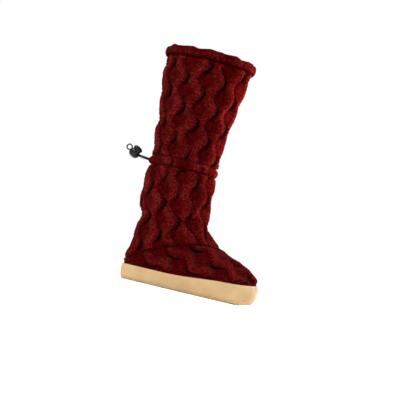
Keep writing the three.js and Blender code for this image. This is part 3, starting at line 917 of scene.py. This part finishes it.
@dataclass
class Studio:
    """Camera at the photograph's angle, soft white light and a pale floor."""

    aim: Triple = (0.043, 0.0, 0.168)
    distance: float = 1.6
    elevation: float = -5.0
    roll: float = 13.5
    across: float = 0.72
    surround: float = 0.2
    key: float = 3.7
    rim: float = 150.0
    back_fill: float = 38.0
    fill: float = 3.0
    key_shines: Triple = (0.58, 0.56, -0.78)
    rim_at: Triple = (0.95, 0.3, 0.58)
    rim_shines: Triple = (-0.92, -0.3, -0.26)
    fills_aim: Triple = (0.03, 0.0, 0.2)
    back_fill_at: Triple = (1.15, 0.62, 0.95)
    fill_at: Triple = (1.4, -1.4, 0.7)
    floor_half: float = 30.0

    def camera(self) -> None:
        """Place the camera, rolled so that the leg leans to the toe side."""
        e, roll = math.radians(self.elevation), math.radians(self.roll)
        look = Vector((0.0, math.cos(e), -math.sin(e)))
        level_right = Vector((1.0, 0.0, 0.0))
        level_up = level_right.cross(look)
        right = level_right * math.cos(roll) + level_up * math.sin(roll)
        up = level_up * math.cos(roll) - level_right * math.sin(roll)
        data = bpy.data.cameras.new("camera")
        data.sensor_width = 36.0
        data.lens = 36.0 * self.distance / self.across
        camera = bpy.data.objects.new("camera", data)
        turn = Matrix((right, up, -look)).transposed().to_4x4()
        camera.matrix_world = Matrix.Translation(Vector(self.aim) - look * self.distance) @ turn
        bpy.context.scene.collection.objects.link(camera)
        bpy.context.scene.camera = camera

    def hang(self, light: bpy.types.Light, shines: Vector, at: Triple = (0.0, 0.0, 0.0)) -> None:
        """Hang a light at a place in metres, with the way that it shines."""
        lamp = bpy.data.objects.new(light.name, light)
        lamp.location = at
        lamp.rotation_euler = shines.to_track_quat("-Z", "Y").to_euler()
        bpy.context.scene.collection.objects.link(lamp)

    def soft_box(self, name: str, at: Triple, size: float, power: float) -> None:
        """Hang a soft area light that faces the boot, with its side in metres and power in watts."""
        light = bpy.data.lights.new(name, "AREA")
        light.size, light.energy = size, power
        self.hang(light, Vector(self.fills_aim) - Vector(at), at)

    def surround_white(self) -> None:
        """White surround, brighter to the camera than to the boot."""
        world = bpy.data.worlds.new("white_surround")
        world.use_nodes = True
        world.node_tree.nodes.clear()
        desk = NodeDesk(world.node_tree)
        seen = desk.add("LightPath").outputs["Is Camera Ray"]
        strength = desk.math("MULTIPLY_ADD", seen, 1.0 - self.surround, self.surround)
        back = desk.add("Background", {"Color": (1, 1, 1, 1), "Strength": strength})
        desk.add("OutputWorld", {"Surface": back.outputs[0]})
        bpy.context.scene.world = world
        bpy.context.scene.view_settings.view_transform = "Standard"

    def light(self) -> None:
        """Key light from above the heel, rim and fill from behind the toe, weak fill before the toe."""
        self.surround_white()
        key = bpy.data.lights.new("key", "SUN")
        key.energy, key.angle = self.key, math.radians(14)
        self.hang(key, Vector(self.key_shines))
        rim = bpy.data.lights.new("rim", "SPOT")
        rim.energy, rim.color, rim.shadow_soft_size = self.rim, (1.0, 0.86, 0.84), 0.1
        rim.spot_size, rim.spot_blend = math.radians(27), 0.9
        self.hang(rim, Vector(self.rim_shines), self.rim_at)
        self.soft_box("back_fill", self.back_fill_at, 0.5, self.back_fill)
        self.soft_box("fill", self.fill_at, 1.0, self.fill)

    def floor(self) -> None:
        """Lay a wide pale floor."""
        mesh = bpy.data.meshes.new("floor")
        half = self.floor_half
        corners = [(-half, -half, 0), (half, -half, 0), (half, half, 0), (-half, half, 0)]
        mesh.from_pydata(corners, [], [(0, 1, 2, 3)])
        floor = bpy.data.objects.new("floor", mesh)
        bpy.context.scene.collection.objects.link(floor)
        material, desk, shader = new_material("pale_floor")
        nap = nap_node(desk, 60.0, 2.0)
        colour = desk.mix(nap.outputs["Tone"], (0.97, 0.97, 0.97, 1), (0.99, 0.99, 0.99, 1))
        desk.fill(shader, {"Base Color": colour, "Roughness": 0.95, "Specular IOR Level": 0.0})
        mesh.materials.append(material)


# Pieces.

RIB_WIDE = 29.0
STITCH_WIDE = RIB_WIDE / 8
STITCH_TALL = 3.2
WALL = 2.6
GAP = 0.3


@dataclass
class CordLine:
    """Line of the drawcord out of the tunnel at the centre back, and the cord lock on it.

    The rows give, in the lock's frame, the way along the cord, the middle of its two strands, and
    how far one strand lies to the side of that middle and above it. Millimetres.
    """

    tunnel_at: float = TUNNEL_AT
    tunnel_out: float = 5.4
    tunnel_knob: float = 2.6
    rise: float = math.radians(14)
    lock_rise: float = math.radians(30)
    lock_at: float = 27.6
    snug: float = 0.9
    half: tuple[tuple[float, float, float, float], ...] = (
        (-32.6, 10.25, 0, 1.38),
        (-26.5, 7.6, 0, 1.38),
        (-22, 5.63, 0, 1.42),
        (-18, 3.88, 0, 1.5),
        (-14.5, 2.35, 0.25, 1.5),
        (-12, 1.3, 0.65, 1.3),
        (-10, 0.6, 1.05, 0.9),
        (-8.2, 0.2, 1.37, 0.3),
        (-6.4, 0.05, 1.4, 0),
        (0, 0, 1.4, 0),
        (6.2, 0, 1.4, 0.02),
        (7.5, 0, 1.37, 0.2),
        (8.8, 0, 1.27, 0.83),
        (10.05, 0, 1.05, 2.27),
        (11.15, 0, 0.9, 3.6),
        (12.55, 0, 0.75, 4.42),
        (14.2, 0, 0.6, 4.7),
        (16.15, 0, 0.4, 4.26),
        (17.75, 0, 0.22, 3.02),
        (18.6, 0, 0.1, 1.61),
        (18.9, 0, 0, 0),
    )

    def frame(self) -> Matrix:
        """Frame of the lock: first axis along the cord through it, third on the press axis."""
        out = Vector((-math.cos(self.lock_rise), 0, math.sin(self.lock_rise)))
        press = Vector((math.sin(self.lock_rise), 0, math.cos(self.lock_rise)))
        back = float(FORM.level(Column.BACK, np.array(self.tunnel_at)))
        start = Vector((back - self.tunnel_out - self.tunnel_knob, 0, self.tunnel_at - 0.5))
        middle = start + Vector((-math.cos(self.rise), 0, math.sin(self.rise))) * self.lock_at
        turn = Matrix((out, press.cross(out), press)).transposed().to_4x4()
        return Matrix.Translation(middle * MM) @ turn

    def strand(self, sign: int) -> list[Triple]:
        """Points of one strand in the lock's frame, drawn snug to the other on the way to the lock.

        Args:
            sign: 1 for the strand that goes out, -1 for the one that comes home.

        Returns:
            Places along the cord, to the side and on the press axis.
        """
        points = []
        for along, middle, side, up in self.half:
            close = self.snug if along < 0 else 1.0
            points.append((along, sign * side, middle + sign * close * up))
        return points

    def route(self) -> Grid:
        """Points of the whole cord's middle, in millimetres."""
        out, home = self.strand(1), self.strand(-1)
        at = self.frame()
        return np.array([(at @ (Vector(p) * MM)) / MM for p in out + home[-2::-1]])


LINE = CordLine()


@dataclass
class Drawcord:
    """Both ends of the drawcord and their loop, as one braided cord."""

    diameter: float = 2.4
    sides: int = 18
    braid: float = 0.05
    braid_pitch: float = 5.0

    def build(self) -> None:
        line = spline_loop(LINE.route(), 8, closed=False)
        step = np.linalg.norm(np.diff(line, axis=0), axis=1)
        along = np.concatenate(([0.0], np.cumsum(step)))
        tangent = np.gradient(line, axis=0)
        tangent /= np.linalg.norm(tangent, axis=1, keepdims=True)
        first = np.cross(tangent, np.array([0.0, 1.0, 0.0]))
        first /= np.linalg.norm(first, axis=1, keepdims=True)
        second = np.cross(tangent, first)
        angle = turns(self.sides)
        lay = 2 * np.pi * along[:, None] / self.braid_pitch
        strand = np.maximum(np.cos(3 * angle + lay), np.cos(3 * angle - lay))
        radius = self.diameter / 2 + self.braid * (strand - 0.7)
        cosine, sine = np.cos(angle)[None, :, None], np.sin(angle)[None, :, None]
        around = cosine * first[:, None] + sine * second[:, None]
        points = line[:, None] + around * radius[..., None]
        # The strand mask, high on the strands' crests, paints shade into the dips between them.
        cord = grid_object("drawcord_braid", points, close_rows=False, masks={"strand": 0.5 + 0.5 * strand})
        self.cap(cord, len(line))
        settle(cord, CORD, "drawcord")
        LOG.info("drawcord length %.1f mm", along[-1])

    def cap(self, cord: bpy.types.Object, rings: int) -> None:
        """Close both ends of the cord.

        Args:
            cord: The cord.
            rings: Number of its rings.
        """
        mesh = bmesh.new()
        mesh.from_mesh(cord.data)
        mesh.verts.ensure_lookup_table()
        for ring in (0, rings - 1):
            mesh.faces.new([mesh.verts[ring * self.sides + k] for k in range(self.sides)])
        bmesh.ops.recalc_face_normals(mesh, faces=mesh.faces)
        mesh.to_mesh(cord.data)
        mesh.free()


@dataclass
class KnitPanel:
    """Hollow knit wall of the leg or of the foot, with its ribs raised on the outside."""

    side: Side
    columns: int
    rows: int
    inner_rows: int = 14
    edge_roll: float = 1.1
    leg: LegKnit = field(default_factory=LegKnit)
    foot: FootKnit = field(default_factory=FootKnit)
    low: float = 3.7
    wale_high: float = 0.3
    # Weights of the painted shade in the slits and of the painted highlight on the crests, and the inside's
    # flat value.
    slit_painted_shade: float = 4.5
    crest_painted_highlight: float = 0.75
    inner_tone: float = 0.1

    def spans(self, turn: Grid) -> tuple[Grid, Grid]:
        """Lowest and highest level of the wall at each turn."""
        seam = FORM.seam_level(turn)
        if self.side is Side.LEG:
            return seam + GAP / 2, np.full_like(turn, self.leg.top)
        return np.full_like(turn, self.low), seam - GAP / 2

    def grid(self, part: Grid) -> tuple[Grid, Grid, Grid]:
        """Levels and turns of the wall's points; the leg's columns swing with its ribs.

        Args:
            part: Share of the way up the wall, one for each row.

        Returns:
            Levels, turns, and each point's distance from the ankle seam.
        """
        share = np.linspace(0, 1, self.columns + 1)
        wale = np.broadcast_to(share * self.leg.count, (len(part), self.columns + 1))
        turn = np.broadcast_to(share * 2 * np.pi, wale.shape)
        low, high = self.spans(turn)
        z = low + (high - low) * part[:, None]
        if self.side is Side.LEG:
            for _ in range(3):
                turn = self.leg.turn(wale, z)
                low, high = self.spans(turn)
                z = low + (high - low) * part[:, None]
        return z, turn, z - low if self.side is Side.LEG else high - z

    def stitches(self, z: Grid, turn: Grid) -> Grid:
        """Place of each point in knit stitches, which follow the ribs.

        Args:
            z: Levels.
            turn: Angles round the form.

        Returns:
            Columns and rows of stitches on the last axis.
        """
        if self.side is Side.LEG:
            share = np.linspace(0, self.leg.count * RIB_WIDE, self.columns + 1)
            across, along = np.broadcast_to(share, z.shape), z
        else:
            ribs, along = self.foot.places(z, turn)
            across = ribs * self.foot.spacing - self.foot.ribs.swerve(ribs, along)
        return np.stack([across / STITCH_WIDE, along / STITCH_TALL], axis=-1)

    def drape(self, z: Grid, turn: Grid) -> Grid:
        """Slow unevenness of soft knit that stands by itself, and small lumps of its yarn."""
        slow = 0.5 * np.sin(3 * turn + z / 31) + 0.35 * np.sin(7 * turn - z / 19 + 1.0)
        share = np.mod(turn / (2 * np.pi), 1.0)
        return slow + 0.55 * lumps(share, z / 11, 36, 3) + 0.3 * lumps(share, z / 5, 80, 5)

    def slack(self, z: Grid, edge: Grid) -> Grid:
        """How loose the knit is, from 0 where it is sewn to 1 where it hangs."""
        top = self.leg.top
        tunnel = smooth(12, 24, np.abs(z - self.leg.tunnel_at))
        return smooth(6, 22, edge) * tunnel * smooth(40, 60, z) * (1 - smooth(top - 14, top - 2, z))

    def tone(self, high: Grid, z: Grid, edge: Grid) -> Grid:
        """Painted shade and highlight of the wall's yarn: painted shade in the slits and under the hem, a
        painted highlight on the crests, and darker at the ankle seam.

        Args:
            high: Height of the ribs, as a share of their full height.
            z: Levels.
            edge: Distances from the ankle seam.

        Returns:
            Values from shaded slits, below 0, to lit crests, near 1.
        """
        tone = np.clip(high * np.where(high < 0, self.slit_painted_shade, self.crest_painted_highlight), -1.7, 1)
        tone = tone - 0.7 * (1 - smooth(0.3, 1.8, edge))
        if self.side is Side.LEG:
            # Painted shade under the hem.
            tone = tone - 0.9 * smooth(self.leg.top - 4, self.leg.top - 1, z)
        return tone

    def build(self) -> None:
        """Make the wall and dress it."""
        node, knit = ("shaft", self.leg) if self.side is Side.LEG else ("upper", self.foot)
        z, turn, edge = self.grid(np.linspace(0, 1, self.rows))
        relief, slack = knit.relief(z, turn), self.slack(z, edge)
        out = relief + self.drape(z, turn) * slack - self.edge_roll * (1 - smooth(0, 3, edge))
        wale = self.stitches(z, turn)[..., 0]
        out = out - self.wale_high * np.cos(2 * np.pi * wale) * slack
        # The rib mask: painted shade and highlight for the yarn's colour.
        tone = self.tone(relief / knit.ribs.high, z, edge)
        inner_z, inner_turn, _ = self.grid(np.linspace(1, 0, self.inner_rows))
        z, turn = np.concatenate([z, inner_z]), np.concatenate([turn, inner_turn])
        out = np.concatenate([out, np.full(inner_z.shape, -WALL)])
        tone = np.concatenate([tone, np.full(inner_z.shape, self.inner_tone)])
        points = FORM.offset(z[:, :-1], turn[:, :-1], out[:, :-1])
        wall = grid_object(node + "_knit", points, uv=self.stitches(z, turn), masks={"rib": tone[:, :-1]})
        settle(wall, KNIT, node)


@dataclass
class KnitRing:
    """Sewn ring round the leg, from control pairs of offset and height."""

    name: str
    node: str
    columns: int = 320
    per_span: int = 5

    def pairs(self) -> Pairs:
        """Control pairs of the ring's section."""
        return ()

    def shape(self, out: Grid, z: Grid, turn: Grid) -> tuple[Grid, Grid]:
        """Offsets and heights of the ring, with its gathers and knobs; plain unless changed."""
        return out, z

    def tone(self, z: Grid, turn: Grid) -> Grid:
        """Painted shade and highlight of the ring's yarn, from shaded slits, below 0, to lit crests, at 1."""
        return np.full(z.shape, 0.5)

    def build(self) -> None:
        """Make the ring and dress it."""
        turn = np.append(turns(self.columns), 2 * np.pi)
        section = spline_loop(np.array(self.pairs(), float), self.per_span)
        out = np.repeat(section[:, :1], len(turn), axis=1)
        z = np.repeat(section[:, 1:], len(turn), axis=1)
        wide = np.broadcast_to(turn, out.shape)
        out, z = self.shape(out, z, wide)
        points = FORM.offset(z[:, :-1], wide[:, :-1], out[:, :-1])
        length = np.concatenate(([0.0], np.cumsum(np.linalg.norm(np.diff(section, axis=0), axis=1))))
        across = LegKnit().across(wide) * RIB_WIDE / STITCH_WIDE
        uv = np.stack([across, np.broadcast_to(length[:, None] / STITCH_TALL, out.shape)], axis=-1)
        # The rib mask: painted shade and highlight for the yarn's colour.
        tone = self.tone(z[:, :-1], wide[:, :-1])
        ring = grid_object(self.name, points, uv=uv, masks={"rib": tone})
        settle(ring, KNIT, self.node)


@dataclass
class CollarHem(KnitRing):
    """Turned hem at the collar, rolled outward, with an uneven upper edge."""

    name: str = "collar_hem_knit"
    node: str = "collar_hem"
    low: float = 410.3
    tall: float = 17.0
    out: float = 5.6

    def pairs(self) -> Pairs:
        """Control pairs of the hem's section."""
        low, top, out = self.low, self.low + self.tall, self.out
        return (
            (-WALL - 0.4, low + 0.2),
            (1.4, low),
            (out * 0.78, low + 1.6),
            (out, low + 6),
            (out * 0.9, low + 11.5),
            (out * 0.5, top - 1.4),
            (-0.6, top),
            (-WALL - 1.2, top - 3.5),
            (-WALL - 1.2, low + 5),
        )

    def shape(self, out: Grid, z: Grid, turn: Grid) -> tuple[Grid, Grid]:
        """Uneven edge of the hem.

        Args:
            out: Offsets from the form.
            z: Heights.
            turn: Angles round the leg.

        Returns:
            Changed offsets and heights.
        """
        up = smooth(self.low + 2, self.low + self.tall, z)
        wave = ripple(turn, ((12, 1.0, 1.4), (19, 0.4, 1.7), (31, 0.2, 0.2), (5, 0.5, 2.2)))
        swell = ripple(turn, ((12, 0.4, 0.9), (29, 0.25, 2.4), (41, 0.2, 0.3)))
        return out + swell * smooth(0, 3, out), z + wave * up

    def tone(self, z: Grid, turn: Grid) -> Grid:
        """Painted shade under the hem's lower edge, and a tone that goes lighter and darker twelve times
        round.
        """
        return 0.3 + 0.2 * np.sin(12 * turn + 0.4) - 1.1 * (1 - smooth(self.low, self.low + 4, z))


@dataclass
class DrawcordTunnel(KnitRing):
    """Folded channel for the drawcord, gathered, with a knob and an opening at the centre back."""

    name: str = "drawcord_tunnel_knit"
    node: str = "drawcord_tunnel"
    columns: int = 400
    seat: float = 0.55
    tall: float = 16.0
    crest: float = 3.4
    leg: LegKnit = field(default_factory=LegKnit)

    def ribs(self, z: Grid, turn: Grid) -> Grid:
        """Height of the leg's ribs, where they run over the tunnel."""
        leg = self.leg
        return leg.ribs.height(leg.across(turn), z - leg.above, leg.spacing(z))

    def pairs(self) -> Pairs:
        """Control pairs of the tunnel's section."""
        at, half, out = LINE.tunnel_at, self.tall / 2, LINE.tunnel_out
        return (
            (self.seat, at),
            (self.seat, at - half + 0.3),
            (1.8, at - half),
            (out * 0.78, at - half * 0.62),
            (out, at - half * 0.12),
            (out * 0.85, at + half * 0.5),
            (1.8, at + half),
            (self.seat, at + half - 0.3),
        )

    def shape(self, out: Grid, z: Grid, turn: Grid) -> tuple[Grid, Grid]:
        """Gathers, the knob and the opening.

        Args:
            out: Offsets from the form.
            z: Heights.
            turn: Angles round the leg.

        Returns:
            Changed offsets and heights.
        """
        face = smooth(1.0, 3.5, out)
        gather = ripple(turn, ((31, 0.42, 0.1), (47, 0.3, 1.3), (19, 0.28, 2.0)))
        gather = 0.6 * gather + 0.7 * (self.ribs(z, turn) - self.crest)
        from_back = turn - np.pi
        knob = LINE.tunnel_knob / (LINE.tunnel_out - 1) * np.exp(-((from_back / 0.2) ** 2))
        out = out + np.maximum(0.0, out - 1) * knob + gather * face
        side = from_back * FORM.level(Column.HALF_WIDTH, np.array(LINE.tunnel_at)) / 2.2
        rise = (z - LINE.tunnel_at + 0.5) / 3.4
        hole = 1 - smooth(0.75, 1.15, np.hypot(side, rise))
        return np.where(out > 1.0, out + (0.9 - out) * hole, out), z

    def tone(self, z: Grid, turn: Grid) -> Grid:
        """Painted shade and highlight of the tunnel: the painted shading of the ribs that run over it,
        painted shade under its lower seam, strongest at the front, and a little at its upper seam.

        Args:
            z: Heights.
            turn: Angles round the leg.

        Returns:
            Values from shaded slits, below 0, to lit crests, at 1.
        """
        ribs = self.ribs(z, turn) / self.leg.ribs.high
        low, high = LINE.tunnel_at - self.tall / 2, LINE.tunnel_at + self.tall / 2
        front = 0.3 + 0.7 * smooth(-0.4, 0.4, np.cos(turn))
        seam_painted_shade = 1.2 * front * (1 - smooth(low, low + 3.5, z)) + 0.25 * smooth(high - 2.0, high, z)
        return 0.1 + 0.7 * np.clip(ribs, -0.6, 1) - seam_painted_shade


@dataclass
class SoleWrap:
    """Suede band round the foot, rounded into the underside."""

    columns: int = 360
    thick: float = 2.4
    low: float = 1.6
    edge: float = 7.0

    def build(self) -> None:
        """Make the band and dress it."""
        turn = turns(self.columns)
        top = FORM.wrap_top(FORM.point(np.full_like(turn, 20.0), turn)[..., 0])
        one = np.ones_like(turn)
        outside = GAP + self.thick
        low = self.low
        loop = [
            (GAP * one, low * one),
            (GAP * one, low + (top - low) * 0.5),
            (GAP * one, top - 1.0),
            ((outside - 1.2) * one, top),
            (outside * one, top - 1.4),
            ((outside + 0.6) * one, top * 0.66),
            ((outside + 0.9) * one, (self.edge + low) * one),
            ((outside + 0.3) * one, (self.edge * 0.45 + low) * one),
            ((outside - 0.9) * one, (self.edge * 0.13 + low) * one),
            ((outside - 1.8) * one, low * one),
        ]
        section = spline_loop(np.array([np.stack(pair, axis=-1) for pair in loop]), 5)
        out, z = section[..., 0], section[..., 1]
        wide = np.broadcast_to(turn, out.shape)
        swell = ripple(wide, ((7, 0.18, 0.3), (13, 0.14, 1.1), (23, 0.1, 2.0)))
        out = out + swell * smooth(GAP + 1.4, outside, out)
        band = grid_object("sole_wrap_suede", FORM.offset(z, wide, out))
        settle(band, TAN, "sole_wrap")


@dataclass
class Sole:
    """Outsole sheet and the soft footbed on it."""

    thick: float = 3.4
    arch: float = 1.4
    footbed: float = 5.0
    columns: int = 160

    def ring(self, level: float, out: float, z: float, lift: float = 0.0) -> Grid:
        """Ring of points round the sole.

        Args:
            level: Level of the form that gives the outline.
            out: Offset from it.
            z: Height.
            lift: Share of the arch's rise.

        Returns:
            Points, in millimetres.
        """
        p = FORM.offset(np.full(self.columns, level), turns(self.columns), np.full(self.columns, out))
        arch = self.arch * smooth(14, 34, p[:, 0]) * (1 - smooth(44, 64, p[:, 0]))
        return np.stack([p[:, 0], p[:, 1], z + FORM.spring(p[:, 0]) + lift * arch], axis=-1)

    def build(self) -> None:
        """Make both sheets and dress them."""
        rings = [(4, -1.4, 0.0, 1), (4, -0.9, 0.15, 1), (4, -0.6, 0.8, 1), (4, -0.6, self.thick, 0)]
        sheet = plate_object("outsole_sheet", np.stack([self.ring(*r) for r in rings]))
        sheet.data.set_sharp_from_angle(angle=math.radians(35))
        settle(sheet, OUTSOLE, "outsole")
        low = self.thick + GAP
        top = low + self.footbed
        inside = -WALL - GAP
        rings = [
            self.ring(low, inside - 0.5, low),
            self.ring(low + 2, inside - 0.5, low + 2),
            self.ring(top - 1, inside - 0.5, top - 1.2),
            self.ring(top, inside - 1.2, top - 0.4),
            self.ring(top, inside - 3.0, top),
        ]
        bed = plate_object("footbed_fleece", np.stack(rings))
        settle(bed, FLEECE, "insole")


@dataclass
class CordLock:
    """Ball cord lock: a cup with a notch for the cord, and a spring button in it."""

    radius: float = 10.2
    piston: float = 8.1
    crown: float = 9.0
    crown_low: float = 6.2
    stem: float = 5.8
    play: float = 0.35
    slot: float = 6.1
    rim: float = 2.4
    shoulder: float = 0.6
    press: float = 3.5
    notch_low: float = -4.4
    notch_above: float = 3.0
    notch_long: float = 30.0
    well: float = -8.0
    stem_low: float = -4.2
    cord_room: float = 3.2
    segments: int = 72

    def turned(self, name: str, pairs: Pairs) -> bpy.types.Object:
        """Turned solid on the press axis.

        Args:
            name: Name of the piece.
            pairs: Radius and height along the section, which starts and ends on the axis.

        Returns:
            The object.
        """
        mesh = bmesh.new()
        rings = []
        for r, z in pairs:
            angle = turns(self.segments) if r > 0 else np.zeros(1)
            ring = np.stack([r * np.cos(angle), r * np.sin(angle), np.full_like(angle, z)], axis=-1)
            rings.append([mesh.verts.new(p) for p in ring * MM])
        for a, b in zip(rings, rings[1:]):
            for k in range(self.segments):
                n = (k + 1) % self.segments
                corners = [a[k % len(a)], a[n % len(a)], b[n % len(b)], b[k % len(b)]]
                mesh.faces.new(list(dict.fromkeys(corners)))
        bmesh.ops.recalc_face_normals(mesh, faces=mesh.faces)
        data = bpy.data.meshes.new(name)
        mesh.to_mesh(data)
        mesh.free()
        data.transform(LINE.frame())
        return link_smooth(name, data)

    def dome(self, pairs: Pairs) -> list[tuple[float, float]]:
        """Smooth curve through the control pairs of a dome."""
        made = spline_loop(np.array(pairs, float), 5, closed=False)
        return [(max(float(r), 0.0), float(z)) for r, z in made]

    def build(self) -> None:
        """Make both halves and dress them."""
        r, play = self.radius, self.play
        seat = self.shoulder - self.press - play
        outside = self.dome(
            ((0, -10.8), (4, -10.3), (7.2, -8.8), (9.2, -6.2), (r, -2.6), (r, 0.9), (r - 0.3, self.rim - 0.3))
        )
        inside = (
            (r - 0.6, self.rim),
            (self.piston + play, self.rim),
            (self.piston + play, seat),
            (self.stem + play, seat),
            (self.stem + play, self.well),
            (0, self.well),
        )
        body = self.turned("cord_lock_cup", (*outside, *inside))
        low, high = self.notch_low, self.rim + self.notch_above
        notch = LINE.frame() @ Matrix.Translation((0, 0, (high + low) / 2 * MM))
        cut_by_block(body, (self.notch_long, self.slot, high - low), notch)
        settle(body, LOCK, "cord_lock_body")
        p, stem = self.piston, self.stem
        foot = ((0, self.stem_low), (stem, self.stem_low), (stem, self.shoulder), (p, self.shoulder))
        c, low = self.crown, self.crown_low
        crown = self.dome(
            ((c - 0.6, low), (c, low + 0.7), (c - 0.2, 8.2), (7.6, 10), (5.3, 11.35), (2.7, 11.95), (0, 12.1))
        )
        knob = self.turned("cord_lock_knob", (*foot, (p, low), *crown))
        slot = LINE.frame() @ Matrix.Translation((0, 0, self.press / 2 * MM))
        cut_by_block(knob, (self.notch_long, self.slot, self.cord_room + self.press), slot)
        settle(knob, LOCK, "cord_lock_button", Body.BUTTON)


def main() -> None:
    """Build the camera, the cord, the boot and its studio in order."""
    logging.basicConfig(level=logging.INFO, format="%(name)s %(message)s")
    LOG.info("%d nodes in the frame", len(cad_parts))
    studio = Studio()
    studio.camera()
    Drawcord().build()
    KnitPanel(Side.LEG, columns=384, rows=240).build()
    KnitPanel(Side.FOOT, columns=384, rows=84).build()
    CollarHem().build()
    DrawcordTunnel().build()
    SoleWrap().build()
    Sole().build()
    CordLock().build()
    studio.light()
    studio.floor()


if __name__ == "__main__":
    main()
